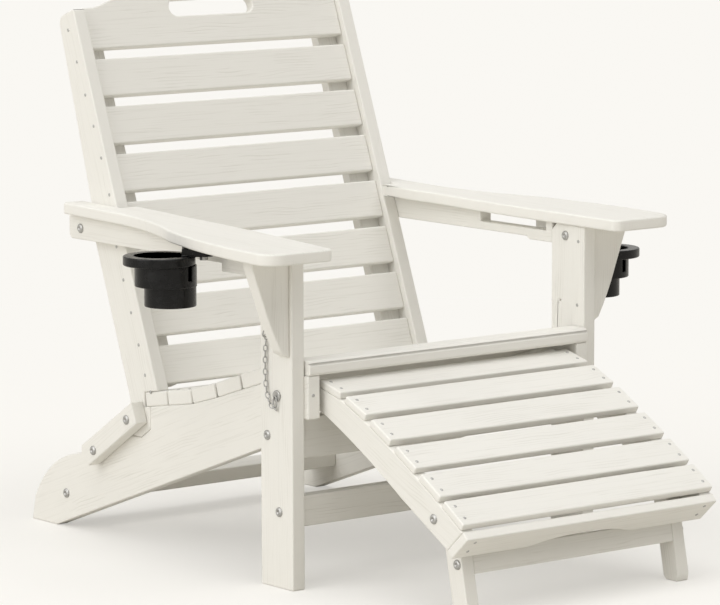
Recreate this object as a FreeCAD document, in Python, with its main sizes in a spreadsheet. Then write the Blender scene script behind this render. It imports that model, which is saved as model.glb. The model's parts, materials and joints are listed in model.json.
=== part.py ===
import FreeCAD, Part
import math
import os
import Sketcher

# A slatted outdoor lounge chair with a pull-out ottoman, in recycled-plastic lumber.
# X runs to the right of someone facing the chair, Y runs from the ottoman to the back,
# Z is up. "Left" is the side at -X.

doc = FreeCAD.newDocument("lounge_chair")
sheet = doc.addObject("Spreadsheet::Sheet", "sizes")

# Every size that can be set by itself, in millimetres.
lengths = {
    # the lumber, and the layers of the side frames, out from the mid-plane
    "board": 24,
    "frame_half": 313,
    "fit": 0.3,
    "bolt_radius": 4,
    "bolt_fit": 0.05,
    "bolt_head_radius": 8,
    "bolt_head_height": 3.5,
    # the whole chair, and the posts
    "chair_back": 763,
    "ottoman_reach": 357.5,
    "post_depth": 81,
    "post_height": 527.6,
    "post_chamfer": 12,
    "post_bolt_y": 64,
    "post_bolt_z": 240,
    "stretcher_bolt_y": 34,
    "block_bolt_y": 47,
    # the long side boards
    "nose_overhang": 9.5,
    "stringer_height": 338.5,
    "front_board_front": 18,
    "front_board_top": 270,
    "front_board_height": 66,
    # seat and back slats
    "seat_slat_width": 65.5,
    "last_slat_width": 60,
    "slat_corner": 2.5,
    "nose_width": 53,
    "nose_out": 15.5,
    "nose_half": 287,
    "slat_inset": 1,
    "back_foot_y": 393,
    "back_foot_z": 263,
    "back_run": 229.3,
    "back_rise": 613,
    "back_slat_height": 64,
    "back_slat_pitch": 81.7,
    "back_slat_start": 15,
    "back_slat_thickness": 19,
    "back_slat_recess": 10,
    "cleat_width": 40,
    "cleat_thickness": 19,
    "stile_depth": 80,
    # arms
    "arm_thickness": 19,
    "arm_front": 78,
    "arm_back": 600,
    "arm_outer": 418,
    "arm_inner": 258,
    "beam_back": 606,
    "beam_bottom": 499,
    "rear_bar_front": 560,
    "rear_bar_top": 537,
    "gusset_height": 160,
    "gusset_width": 72,
    "gusset_front": 6,
    "block_front": 35,
    "block_length": 115,
    "block_bottom": 491,
    # stretchers
    "front_stretcher_front": 15,
    "front_stretcher_bottom": 97,
    "front_stretcher_height": 49,
    "rear_stretcher_front": 630,
    "rear_stretcher_depth": 70,
    "rear_stretcher_bottom": 46,
    # ottoman, which turns on the lock pins
    "pin_y": 38,
    "pin_z": 305,
    "pin_radius": 4,
    "pin_fit": 0.1,
    "pin_head_radius": 9,
    "pin_head_height": 3,
    "pin_ring_radius": 8,
    "wire_radius": 1.2,
    "rail_outer": 256,
    "rail_eye": 20,
    "apron_reach": 14,
    "rail_drop": 166.4,
    "ottoman_slat_width": 55.5,
    "ottoman_slat_thickness": 12.4,
    "ottoman_gap": 15,
    "apron_thickness": 16,
    "apron_height": 51,
    "leg_gap": 4,
    "leg_pivot_back": 315,
    "leg_pivot_z": 150,
    "leg_splay": 31,
    "leg_half": 17.5,
    "leg_stretcher_height": 35,
    "leg_stretcher_thickness": 20,
    "leg_stretcher_drop": 91,
    # cup holders
    "cup_pivot_x": 362,
    "left_cup_pivot_y": 162,
    "right_cup_pivot_y": 135,
    "cup_out": 56,
    "cup_along": 42,
    "ring_radius": 57,
    "ring_height": 15,
    "left_ring_top": 518,
    "right_ring_top": 475,
    "ring_mouth": 38,
    "cup_radius": 49,
    "cup_shift": 10,
    "cup_low_radius": 41,
    "cup_low_shift": 17,
    "cup_height": 33,
    "cup_low_height": 32,
    "cup_wall": 3,
    "cup_slot_width": 9,
    "tongue_radius": 15,
    "tongue_height": 14,
    "tongue_boss": 16.5,
    "web_reach": 18,
    "web_thickness": 11,
    "web_half": 12,
    "nut_radius": 6.5,
    "nut_height": 6,
    # chains and their screw-eyes
    "eye_y": 60,
    "eye_z": 401,
    "eye_ring": 5,
    "eye_reach": 12,
    "chain_radius": 1.6,
    "chain_sag": 107,
    "chain_belly": 3,
    # the stiles' seat round the rear bar, and their rounded tops
    "bar_seat": 7,
    "bar_lap": 9.5,
    "stile_tip": 16,
    # crest
    "crest_height": 107,
    "crest_side": 71.5,
    "hole_half": 87,
    "hole_radius": 15,
    "hole_bottom": 49,
    # arm beams
    "notch_front": 97,
    "notch_back": 264,
    "notch_floor": 513,
    "beam_heel": 494,
    "beam_heel_back": 140,
    "beam_corner": 6,
    # holes in the ends of the cross bars
    "bar_hole_depth": 40,
    # arm boards
    "arm_corner": 34,
    "arm_inner_corner": 15,
    "arm_front_inner": 288,
}


class Size:
    """A length or an angle, kept as its formula and its value."""

    def __init__(self, formula, value):
        self.formula = formula
        self.value = float(value)

    def __add__(self, other):
        return Size("(%s + %s)" % (self.formula, text_of(other)), self.value + value_of(other))

    def __radd__(self, other):
        return self + other

    def __sub__(self, other):
        return Size("(%s - %s)" % (self.formula, text_of(other)), self.value - value_of(other))

    def __rsub__(self, other):
        return Size("(%s - %s)" % (text_of(other), self.formula), value_of(other) - self.value)

    def __mul__(self, other):
        return Size("%s * %s" % (self.formula, text_of(other)), self.value * value_of(other))

    def __rmul__(self, other):
        return self * other

    def __truediv__(self, other):
        return Size("%s / %s" % (self.formula, text_of(other)), self.value / value_of(other))

    def __neg__(self):
        return Size("(-1 * %s)" % self.formula, -self.value)


def value_of(size):
    return size.value if isinstance(size, Size) else float(size)


def text_of(size):
    return "(%s)" % size.formula if isinstance(size, Size) else "(%.6f)" % size


def length_of(run, rise):
    text = "sqrt(%s * %s + %s * %s)" % (text_of(run), text_of(run), text_of(rise), text_of(rise))
    return Size(text, math.hypot(value_of(run), value_of(rise)))


def angle_of(run, rise):
    text = "atan2(%s; %s)" % (text_of(rise), text_of(run))
    return Size(text, math.degrees(math.atan2(value_of(rise), value_of(run))))


class Sizes:
    """The sheet's sizes, read by name."""

    def __getattr__(self, name):
        return Size("sizes." + name, lengths[name])


s = Sizes()
for row, (name, length) in enumerate(lengths.items(), 1):
    sheet.set("A%d" % row, name)
    sheet.set("B%d" % row, str(length))
    sheet.setAlias("B%d" % row, name)

# The layers of the side frames, and the front of the chair, with the origin under its middle.
outer_layer = s.frame_half - s.board
inner_layer = outer_layer - s.board
front = -(s.chair_back - s.ottoman_reach) / 2
arm_rise_share = 0.0227
stringer_length = s.chair_back + s.nose_overhang
rail_length = s.ottoman_reach + s.pin_y - s.apron_reach

doc.recompute()


def plane_of(body, role):
    return [f for f in body.Origin.OriginFeatures if f.Role == role][0]


def sketch_on(body, role, name):
    sketch = body.newObject("Sketcher::SketchObject", name)
    sketch.AttachmentSupport = [(plane_of(body, role), "")]
    sketch.MapMode = "FlatFace"
    return sketch


def fix(sketch, geometry, end, point):
    """Hold one point of a sketch at its place from the origin."""
    for axis, size in zip("XY", point):
        constraint = Sketcher.Constraint("Distance" + axis, -1, 1, geometry, end, value_of(size))
        number = sketch.addConstraint(constraint)
        if isinstance(size, Size):
            sketch.setExpression("Constraints[%d]" % number, size.formula)


def vector(point):
    return FreeCAD.Vector(value_of(point[0]), value_of(point[1]), 0)


def same(one, two):
    return all(abs(value_of(a) - value_of(b)) < 1e-9 for a, b in zip(one, two))


def draw(sketch, loop):
    """A closed outline. A pair (middle, end) is a curve through the middle to the end."""
    here = loop[0]
    edges = []
    last = loop[-1][1] if isinstance(loop[-1][0], tuple) else loop[-1]
    for entry in list(loop[1:]) + ([] if same(last, here) else [here]):
        curved = isinstance(entry[0], tuple)
        end = entry[1] if curved else entry
        a, b = vector(here), vector(end)
        if curved:
            middle = vector(entry[0])
            clockwise = (middle - a).cross(b - a).z < 0
            arc = Part.Arc(b, middle, a) if clockwise else Part.Arc(a, middle, b)
            index = sketch.addGeometry(arc)
            edges.append((index, 2, 1) if clockwise else (index, 1, 2))
            mark = sketch.addGeometry(Part.Point(middle), True)
            fix(sketch, mark, 1, entry[0])
            sketch.addConstraint(Sketcher.Constraint("PointOnObject", mark, 1, index))
        else:
            index = sketch.addGeometry(Part.LineSegment(a, b))
            edges.append((index, 1, 2))
        fix(sketch, index, edges[-1][1], here)
        here = end
    for one, two in zip(edges, edges[1:] + edges[:1]):
        sketch.addConstraint(Sketcher.Constraint("Coincident", one[0], one[2], two[0], two[1]))


def circle(sketch, point, radius):
    ring = Part.Circle(vector(point), FreeCAD.Vector(0, 0, 1), value_of(radius))
    index = sketch.addGeometry(ring)
    fix(sketch, index, 3, point)
    number = sketch.addConstraint(Sketcher.Constraint("Radius", index, value_of(radius)))
    sketch.setExpression("Constraints[%d]" % number, radius.formula)


def place(thing, x=0, y=0, z=0, turn=None, axis=(1, 0, 0)):
    """Put a piece at a place given from the front faces of the posts."""
    y = front + y
    angle = value_of(turn) if turn is not None else 0
    base = FreeCAD.Vector(value_of(x), value_of(y), value_of(z))
    thing.Placement = FreeCAD.Placement(base, FreeCAD.Rotation(FreeCAD.Vector(*axis), angle))
    for letter, size in zip("xyz", (x, y, z)):
        if isinstance(size, Size):
            thing.setExpression("Placement.Base." + letter, size.formula)
    if isinstance(turn, Size):
        thing.setExpression("Placement.Rotation.Angle", turn.formula)


parts = []


def finish(thing, label):
    thing.Label = label
    parts.append(thing)
    return thing


def gather(label, things):
    """Pieces that are alike and do the same work, kept together."""
    for thing in things:
        if thing in parts:
            parts.remove(thing)
    pack = doc.addObject("Part::Compound", label)
    pack.Links = things
    return finish(pack, label)


def lumber(label, role, loop, thickness, holes=(), slots=(), bores=(), flip=False):
    """A board sawn to an outline, with bolt holes and openings through it."""
    body = doc.addObject("PartDesign::Body", label)
    sketch = sketch_on(body, role, label + "_outline")
    draw(sketch, loop)
    for opening in slots:
        draw(sketch, opening)
    for point, radius in holes:
        circle(sketch, point, radius)
    pad = body.newObject("PartDesign::Pad", label + "_board")
    pad.Profile = sketch
    pad.Length = value_of(thickness)
    pad.setExpression("Length", thickness.formula)
    pad.Reversed = flip
    for point, radius, depth in bores:
        bore = sketch_on(body, role, label + "_bore")
        circle(bore, point, radius)
        doc.recompute()
        pocket = body.newObject("PartDesign::Pocket", label + "_drilling")
        pocket.Profile = bore
        pocket.Type = 0
        pocket.Length = value_of(depth)
        pocket.setExpression("Length", depth.formula)
        pocket.Reversed = True
    return finish(body, label)


def eased(width, height, corner, at=(0, 0)):
    """A rectangle with eased corners, for boards seen on their end."""
    y, z = at
    bend = corner * (1 - math.sqrt(0.5))
    return [
        (y + corner, z),
        (y + width - corner, z),
        ((y + width - bend, z + bend), (y + width, z + corner)),
        (y + width, z + height - corner),
        ((y + width - bend, z + height - bend), (y + width - corner, z + height)),
        (y + corner, z + height),
        ((y + bend, z + height - bend), (y, z + height - corner)),
        (y, z + corner),
        ((y + bend, z + bend), (y + corner, z)),
    ]


def slat(label, half, width, thickness, y, z, turn, holes=()):
    """A slat lying across the chair, on its own slope."""
    thing = lumber(label, "YZ_Plane", eased(width, thickness, s.slat_corner), half * 2)
    place(thing, -half, y, z, turn)
    return thing


def side_name(side):
    return "left" if side < 0 else "right"


def side_x(side, inner, thickness):
    """Where a board of a side frame starts in X, for either side."""
    return inner if side > 0 else -(inner + thickness)


def cylinder(name, radius, height, x, y, z, axis=(0, 1, 0), angle=90):
    thing = doc.addObject("Part::Cylinder", name)
    thing.setExpression("Radius", radius.formula)
    thing.setExpression("Height", height.formula)
    thing.Radius = radius.value
    thing.Height = height.value
    place(thing, x, y, z, angle, axis)
    return thing


def cone(name, low, high, height, x, y, z, axis=(0, 1, 0), angle=90):
    thing = doc.addObject("Part::Cone", name)
    for prop, size in (("Radius1", low), ("Radius2", high), ("Height", height)):
        thing.setExpression(prop, size.formula)
    place(thing, x, y, z, angle, axis)
    return thing


def join(kind, name, pieces):
    thing = doc.addObject(kind, name)
    if kind == "Part::Cut":
        thing.Base, thing.Tool = pieces
    else:
        thing.Shapes = pieces
    return thing


# The seat line: where the top of a stringer is cut flat under each slat, front to back,
# as shares of the stringer's length and height.
seat_shares = [
    (0.0505, 1.0), (0.1372, 0.938), (0.2239, 0.8774), (0.3107, 0.8139),
    (0.3987, 0.7578), (0.4841, 0.7253), (0.5476, 0.7016),
]
seat = [(stringer_length * a - s.nose_overhang, s.stringer_height * b) for a, b in seat_shares]


def on_stringer(shares):
    return [(stringer_length * a - s.nose_overhang, s.stringer_height * b) for a, b in shares]


# Stringers. The lower rear notch takes the foot of the back, the front rabbet the cross board.
notch_shares = [(0.5476, 0.5908), (0.5819, 0.5406), (0.6362, 0.5406), (0.7372, 0.4874)]
heel_shares = [(0.8058, 0.3959), (0.8485, 0.3752), (0.8874, 0.3427), (0.9469, 0.2482), (0.987, 0.1241)]
sole_shares = [(1.0, 0.0), (0.9055, 0.0), (0.1573, 0.6174), (0.0667, 0.6617)]
notch = on_stringer(notch_shares)
heel = on_stringer(heel_shares)
sole = on_stringer(sole_shares)
bolt_shares = {"heel": (0.864, 0.174), "brace": (0.7153, 0.4431), "foot": (0.591, 0.632)}
heel_bolt, brace_bolt, foot_bolt = [on_stringer([bolt_shares[k]])[0] for k in ("heel", "brace", "foot")]
front_board_back = s.front_board_front + s.board
post_bolt = (s.post_bolt_y, s.post_bolt_z)
bolt_hole = s.bolt_radius + s.bolt_fit
pin_hole = s.pin_radius + s.pin_fit
stringer_loop = (
    [(-s.nose_overhang, s.front_board_top), (-s.nose_overhang, s.stringer_height)]
    + seat
    + notch
    + [heel[0], (heel[1], heel[2]), (heel[3], heel[4])]
    + sole
    + [(front_board_back, s.front_board_top)]
)
stringer_loop.insert(-1, (front_board_back, sole[3][1]))
stringer_loop.remove(sole[3])
for side in (-1, 1):
    thing = lumber(
        side_name(side) + "_stringer", "YZ_Plane", stringer_loop, s.board,
        holes=[(post_bolt, bolt_hole), (heel_bolt, bolt_hole), (brace_bolt, bolt_hole),
               ((s.pin_y, s.pin_z), pin_hole)])
    place(thing, side_x(side, inner_layer, s.board))

# Posts, cut on top to the rise of the arm.
stretcher_bolt = (s.stretcher_bolt_y, s.front_stretcher_bottom + s.front_stretcher_height / 2)
block_bolt = (s.block_bolt_y, (s.block_bottom + s.post_height) / 2)
post_top = s.post_height + s.post_depth * arm_rise_share
post_loop = [
    (0, 0), (s.post_depth, 0), (s.post_depth, post_top - s.post_chamfer),
    (s.post_depth - s.post_chamfer, post_top - s.post_chamfer * arm_rise_share), (0, s.post_height)]
post_holes = [(post_bolt, bolt_hole), (stretcher_bolt, bolt_hole), (block_bolt, bolt_hole),
              ((s.pin_y, s.pin_z), pin_hole), ((s.eye_y, s.eye_z), s.chain_radius + s.bolt_fit)]
for side in (-1, 1):
    thing = lumber(side_name(side) + "_front_post", "YZ_Plane", post_loop, s.board, holes=post_holes)
    place(thing, side_x(side, outer_layer, s.board))


def arm_line(y):
    """The underside of the arm above a point of the side frame."""
    return s.post_height + y * arm_rise_share


# Seat slats, each flat on its own cut of the stringers.
slope = [(b[0] - a[0], b[1] - a[1]) for a, b in zip(seat, seat[1:])]
seat_half = outer_layer - s.slat_inset
for number, ((y, z), (run, rise)) in enumerate(zip(seat, slope)):
    length = length_of(run, rise)
    width = s.seat_slat_width if number < 5 else s.last_slat_width
    lead = (length - width) / 2 if number < 5 else s.fit * 7
    place_y = y + run * (lead / length)
    place_z = z + rise * (lead / length)
    slat("seat_slat_%d" % (number + 1), seat_half, width, s.board, place_y, place_z, angle_of(run, rise))
last_run, last_rise = slope[-1]
last_length = length_of(last_run, last_rise)

# The nose slat: a fuller front edge with a groove run along it under the top.
nose_shares = {"round": 0.42, "groove": 0.72, "lip": 0.78, "low": 0.68, "foot": 0.22}
nose_front = -(s.nose_overhang + s.nose_out)
nose_groove = s.wire_radius
round_top = s.board * nose_shares["round"]
nose_loop = [
    (nose_front + s.nose_width, s.stringer_height),
    (nose_front + s.nose_width, s.stringer_height + s.board - s.slat_corner),
    (nose_front + s.nose_width - s.slat_corner, s.stringer_height + s.board),
    (nose_front + round_top, s.stringer_height + s.board),
    ((nose_front + round_top * 0.35, s.stringer_height + s.board * 0.93),
     (nose_front + nose_groove / 2, s.stringer_height + s.board * nose_shares["lip"])),
    (nose_front + nose_groove * 2, s.stringer_height + s.board * (nose_shares["groove"] + 0.03)),
    (nose_front, s.stringer_height + s.board * nose_shares["low"]),
    (nose_front, s.stringer_height + s.board * nose_shares["foot"]),
    ((nose_front + s.board * 0.07, s.stringer_height + s.board * 0.07),
     (nose_front + s.board * nose_shares["foot"], s.stringer_height)),
]
nose = lumber("seat_nose_slat", "YZ_Plane", nose_loop, s.nose_half * 2)
place(nose, -s.nose_half)

# The back. Its stiles lean as far as back_run over back_rise, and are notched round the last
# seat slat below and the rear bar above.
back_length = length_of(s.back_run, s.back_rise)
lean_y = s.back_run / back_length
lean_z = s.back_rise / back_length
lean = -angle_of(s.back_rise, s.back_run)


def on_back(along, depth):
    """A point along the front edge of the back from its foot, and depth behind it."""
    return (s.back_foot_y + lean_y * along + lean_z * depth,
            s.back_foot_z + lean_z * along - lean_y * depth)


def last_slat_face(y, above):
    """The top (above = thickness) or underside (above = 0) of the last seat slat."""
    return seat[5][1] + (y - seat[5][0]) * last_rise / last_run + above * last_length / last_run


last_slat_back = (seat[5][0] + (s.fit * 7 + s.last_slat_width) * last_run / last_length
                  - s.board * last_rise / last_length)
stile_shares = {
    "upper": (0.78, 0.71), "crown": (0.97, 0.6)}
foot_shares = [(0.6245, 0.5418), (0.6310, 0.6056), (0.6206, 0.715)]
foot_back = on_stringer(foot_shares)
bar_back = s.rear_bar_front + s.board
bar_bottom = s.beam_bottom
tip = on_back(back_length, s.stile_depth * stile_shares["crown"][1])
stile_loop = [
    (s.back_foot_y, last_slat_face(s.back_foot_y, s.board + s.fit)),
    on_back(back_length - s.slat_corner, 0),
    on_back(back_length, s.slat_corner),
    on_back(back_length, s.stile_depth * stile_shares["crown"][1] - s.stile_tip),
    (on_back(back_length - s.stile_tip * 0.3, s.stile_depth * stile_shares["crown"][1] - s.stile_tip * 0.3),
     on_back(back_length - s.stile_tip, s.stile_depth * stile_shares["crown"][1])),
    on_back(back_length * stile_shares["upper"][0], s.stile_depth * stile_shares["upper"][1]),
    (s.rear_bar_front + s.bar_lap, s.rear_bar_top + s.fit),
    (s.rear_bar_front, s.rear_bar_top + s.fit),
    (s.rear_bar_front, bar_bottom),
    (s.rear_bar_front + s.bar_seat, bar_bottom),
    foot_back[2],
    foot_back[1],
    foot_back[0],
    (notch[1][0] + s.fit, notch[1][1] + s.fit),
    (notch[0][0] + s.fit, notch[0][1] + s.fit),
    (notch[0][0] + s.fit, last_slat_face(notch[0][0], -s.fit)),
    (last_slat_back + s.fit, last_slat_face(last_slat_back, -s.fit)),
    (last_slat_back + s.fit, last_slat_face(last_slat_back, s.board + s.fit)),
]
for side in (-1, 1):
    thing = lumber(side_name(side) + "_back_stile", "YZ_Plane", stile_loop, s.board,
                   holes=[(foot_bolt, bolt_hole)])
    place(thing, side_x(side, inner_layer, s.board))

# Back slats between the stiles, and the cleats that they are screwed to.
for number in range(7):
    y, z = on_back(s.back_slat_start + s.back_slat_pitch * (6 - number), s.back_slat_recess)
    thing = lumber("back_slat_%d" % (number + 2), "YZ_Plane",
                   eased(s.back_slat_thickness, s.back_slat_height, s.slat_corner), inner_layer * 2)
    place(thing, -inner_layer, y, z, lean)
y, z = on_back(s.back_slat_start, s.back_slat_recess + s.back_slat_thickness)
cleat_length = back_length - s.back_slat_start - s.slat_corner
cleats = []
for side in (-1, 1):
    cleat = lumber(side_name(side) + "_back_cleat", "YZ_Plane",
                   [(0, 0), (s.cleat_thickness, 0), (s.cleat_thickness, cleat_length), (0, cleat_length)],
                   s.cleat_width)
    place(cleat, side_x(side, inner_layer - s.cleat_width, s.cleat_width), y, z, lean)
    cleats.append(cleat)
gather("back_cleats", cleats)

# The crest, with its carved top and hand hole.
crest_shares = {"shoulder": (0.91, 0.0), "dip": (0.815, 0.2), "rise": (0.72, 0.47),
                "curl": (0.57, 0.78), "brow": (0.38, 0.92)}
crest_up = s.crest_height - s.crest_side


def crest_point(key, side):
    across, up = crest_shares[key]
    return (inner_layer * across * side, s.crest_side + crest_up * up)


crest_loop = [
    (-inner_layer, 0), (inner_layer, 0), (inner_layer, s.crest_side),
    crest_point("shoulder", 1),
    (crest_point("dip", 1), crest_point("rise", 1)),
    (crest_point("curl", 1), crest_point("brow", 1)),
    ((0, s.crest_height), crest_point("brow", -1)),
    (crest_point("curl", -1), crest_point("rise", -1)),
    (crest_point("dip", -1), crest_point("shoulder", -1)),
    (-inner_layer, s.crest_side),
]
hole_flat = s.hole_half - s.hole_radius


def crest_board():
    body = doc.addObject("PartDesign::Body", "back_crest_slat")
    sketch = sketch_on(body, "XZ_Plane", "crest_outline")
    draw(sketch, crest_loop)
    a, b = (-hole_flat, s.hole_bottom), (hole_flat, s.hole_bottom)
    c, d = (hole_flat, s.hole_bottom + s.hole_radius * 2), (-hole_flat, s.hole_bottom + s.hole_radius * 2)
    right = ((s.hole_half, s.hole_bottom + s.hole_radius), c)
    left = ((-s.hole_half, s.hole_bottom + s.hole_radius), a)
    draw(sketch, [a, b, right, d, left])
    pad = body.newObject("PartDesign::Pad", "crest_board")
    pad.Profile = sketch
    pad.Length = value_of(s.back_slat_thickness)
    pad.setExpression("Length", s.back_slat_thickness.formula)
    pad.Reversed = True
    return finish(body, "back_crest_slat")


crest = crest_board()
y, z = on_back(s.back_slat_start + s.back_slat_pitch * 7, s.back_slat_recess)
place(crest, 0, y, z, lean)

# The short braces that splice each stile's foot to its stringer.
brace_shares = [(0.556, 0.6219), (0.5741, 0.7238), (0.7618, 0.455), (0.7618, 0.4195), (0.7359, 0.3589)]
for side in (-1, 1):
    thing = lumber(side_name(side) + "_brace", "YZ_Plane", on_stringer(brace_shares), s.board,
                   holes=[(brace_bolt, bolt_hole), (foot_bolt, bolt_hole)])
    place(thing, side_x(side, outer_layer, s.board))

# Arm beams, with the notch above for the cup holder's bracket.
bar_bolt = (s.rear_bar_front + s.board / 2, (s.rear_bar_top + s.beam_bottom) / 2)
beam_loop = [
    (s.post_depth, s.beam_heel), (s.beam_heel_back, s.beam_heel),
    (s.beam_heel_back + s.beam_corner, s.beam_bottom),
    (s.beam_back - s.beam_corner, s.beam_bottom), (s.beam_back, s.beam_bottom + s.beam_corner),
    (s.beam_back, arm_line(s.beam_back)), (s.notch_back, arm_line(s.notch_back)),
    (s.notch_back, s.notch_floor),
    (s.notch_front, s.notch_floor), (s.notch_front, arm_line(s.notch_front)),
    (s.post_depth, arm_line(s.post_depth)),
]
blocks = []
for side in (-1, 1):
    thing = lumber(side_name(side) + "_arm_beam", "YZ_Plane", beam_loop, s.board,
                   holes=[(bar_bolt, bolt_hole)])
    place(thing, side_x(side, outer_layer, s.board))
    block_end = s.block_front + s.block_length
    block = lumber(
        side_name(side) + "_arm_block", "YZ_Plane",
        [(s.block_front, s.block_bottom), (block_end, s.block_bottom),
         (block_end, arm_line(block_end)), (s.block_front, arm_line(s.block_front))],
        s.board, holes=[(block_bolt, bolt_hole)])
    place(block, side_x(side, s.frame_half, s.board))
    blocks.append(block)
gather("arm_blocks", blocks)

# The bar across behind the back, and the stretchers.


def crossbar(label, half, loop, bolt_at, depth):
    """A bar across the chair, drilled in both ends for its bolts."""
    bar = doc.addObject("PartDesign::Body", label)
    sketch = sketch_on(bar, "YZ_Plane", label + "_section")
    draw(sketch, loop)
    pad = bar.newObject("PartDesign::Pad", label + "_bar")
    pad.Profile = sketch
    pad.Length = value_of(half) * 2
    pad.setExpression("Length", (half * 2).formula)
    holes = sketch_on(bar, "YZ_Plane", label + "_holes")
    circle(holes, bolt_at, bolt_hole)
    doc.recompute()
    for end in (0, 1):
        if end:
            far = sketch_on(bar, "YZ_Plane", label + "_far_holes")
            circle(far, bolt_at, bolt_hole)
            far.AttachmentOffset = FreeCAD.Placement(
                FreeCAD.Vector(0, 0, value_of(half) * 2), FreeCAD.Rotation())
            far.setExpression("AttachmentOffset.Base.z", (half * 2).formula)
            doc.recompute()
        drill = bar.newObject("PartDesign::Pocket", label + "_drill_%d" % end)
        drill.Profile = far if end else holes
        drill.Type = 0
        drill.Length = value_of(depth)
        drill.setExpression("Length", depth.formula)
        drill.Reversed = end == 0
        doc.recompute()
    place(bar, -half)
    return finish(bar, label)


crossbar("rear_bar", outer_layer,
         [(s.rear_bar_front, s.beam_bottom), (bar_back, s.beam_bottom), (bar_back, s.rear_bar_top),
          (s.rear_bar_front, s.rear_bar_top)], bar_bolt, s.bar_hole_depth)
stretcher_back = s.front_stretcher_front + s.board
stretcher_top = s.front_stretcher_bottom + s.front_stretcher_height
crossbar("front_stretcher", outer_layer,
         [(s.front_stretcher_front, s.front_stretcher_bottom), (stretcher_back, s.front_stretcher_bottom),
          (stretcher_back, stretcher_top), (s.front_stretcher_front, stretcher_top)],
         stretcher_bolt, s.bar_hole_depth)
rear_end = s.rear_stretcher_front + s.rear_stretcher_depth
rear_top = s.rear_stretcher_bottom + s.board
crossbar("rear_stretcher", inner_layer,
         [(s.rear_stretcher_front, s.rear_stretcher_bottom), (rear_end, s.rear_stretcher_bottom),
          (rear_end, rear_top), (s.rear_stretcher_front, rear_top)], heel_bolt, s.bar_hole_depth)
cross = lumber("front_cross_board", "YZ_Plane",
               [(s.front_board_front, s.front_board_top - s.front_board_height),
                (front_board_back, s.front_board_top - s.front_board_height),
                (front_board_back, s.front_board_top), (s.front_board_front, s.front_board_top)],
               outer_layer * 2)
place(cross, -outer_layer)

# Gussets that carry the arm's overhang, set across the chair beside each post.
gusset_shares = {"shoulder": (1.0, 0.09), "belly": (0.7, 0.45), "waist": (0.44, 0.74),
                 "toe": (0.2, 0.95), "heel": (0.0, 1.0)}


def gusset_point(key, side):
    out, down = gusset_shares[key]
    return ((s.frame_half + s.gusset_width * out) * side, s.post_height - s.gusset_height * down)


for side in (-1, 1):
    loop = [
        (s.frame_half * side, s.post_height), (s.frame_half * side, s.post_height - s.gusset_height),
        gusset_point("toe", side),
        (gusset_point("waist", side), gusset_point("belly", side)),
        gusset_point("shoulder", side), ((s.frame_half + s.gusset_width) * side, s.post_height)]
    thing = lumber(side_name(side) + "_gusset", "XZ_Plane", loop, s.board, flip=True)
    place(thing, 0, s.gusset_front)

# Arm boards, wide in front and waisted beside the sitter, lying on beam, post and gusset.
inner_shares = [(1.08, 0.075), (1.031, 0.35), (1.0194, 0.6), (1.0, 0.74), (1.016, 0.823)]
outer_shares = [(0.976, 0.175), (0.907, 0.392), (0.828, 0.55), (0.792, 0.717)]
cup_pivot_y = {-1: s.left_cup_pivot_y, 1: s.right_cup_pivot_y}
arm_notch = s.back_foot_y + (s.post_height - s.back_foot_z) * s.back_run / s.back_rise
for side in (-1, 1):
    bend = 1 - math.sqrt(0.5)
    inner = [(s.arm_inner * a * side, s.arm_back * b) for a, b in inner_shares]
    outer = [(s.arm_outer * a * side, s.arm_back * b) for a, b in outer_shares]
    rear_outer = s.arm_outer * outer_shares[-1][0] * side
    loop = [
        (outer_layer * side + s.fit * side, arm_notch - s.fit * 4),
        inner[4],
        (inner[3], inner[2]),
        (inner[1], inner[0]),
        (s.arm_front_inner * side, s.arm_inner_corner - s.arm_front),
        (((s.arm_front_inner + s.arm_inner_corner * bend) * side, s.arm_inner_corner * bend - s.arm_front),
         ((s.arm_front_inner + s.arm_inner_corner) * side, -s.arm_front)),
        ((s.arm_outer - s.arm_corner) * side, -s.arm_front),
        (((s.arm_outer - s.arm_corner * bend) * side, s.arm_corner * bend - s.arm_front),
         (s.arm_outer * side, s.arm_corner - s.arm_front)),
        (s.arm_outer * side, -s.arm_front / 4),
        (outer[0], outer[1]),
        (outer[2], outer[3]),
        (rear_outer, s.arm_back - s.slat_corner * 2),
        (rear_outer - s.slat_corner * 2 * side, s.arm_back),
        ((outer_layer + s.fit) * side, s.arm_back),
    ]
    loop.insert(1, (inner[4][0], arm_notch - s.fit * 4))
    arm = lumber(side_name(side) + "_arm_board", "XY_Plane", loop, s.arm_thickness,
                 bores=[((s.cup_pivot_x * side, cup_pivot_y[side]), s.bolt_radius + s.fit * 2,
                         s.arm_thickness * 0.8)])
    place(arm, 0, 0, s.post_height, math.degrees(math.atan(arm_rise_share)))

# Ottoman rails: a bowed top cut flat under each slat, an eye at the rear for the lock pin.
rail_top_shares = [(0.24, 0.02), (0.399, 0.182), (0.555, 0.376), (0.714, 0.585), (0.867, 0.799), (1.0, 1.0)]
rail_low_shares = [(0.907, 1.196), (0.611, 0.805), (0.354, 0.454), (0.1245, 0.186)]
eye_shares = [(-0.3, 0.954), (1.0, 0.0), (-0.4, -0.9165)]
rail_top = [(s.pin_y - rail_length * a, s.pin_z - s.rail_drop * b) for a, b in rail_top_shares]
rail_low = [(s.pin_y - rail_length * a, s.pin_z - s.rail_drop * b) for a, b in rail_low_shares]
rail_eye_at = [(s.pin_y + s.rail_eye * a, s.pin_z + s.rail_eye * b) for a, b in eye_shares]
leg_pivot = (s.pin_y - s.leg_pivot_back, s.leg_pivot_z)
rail_loop = ([rail_eye_at[0]] + rail_top + rail_low[:2] + [(rail_low[2], rail_low[3])]
             + [rail_eye_at[2]])
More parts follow.
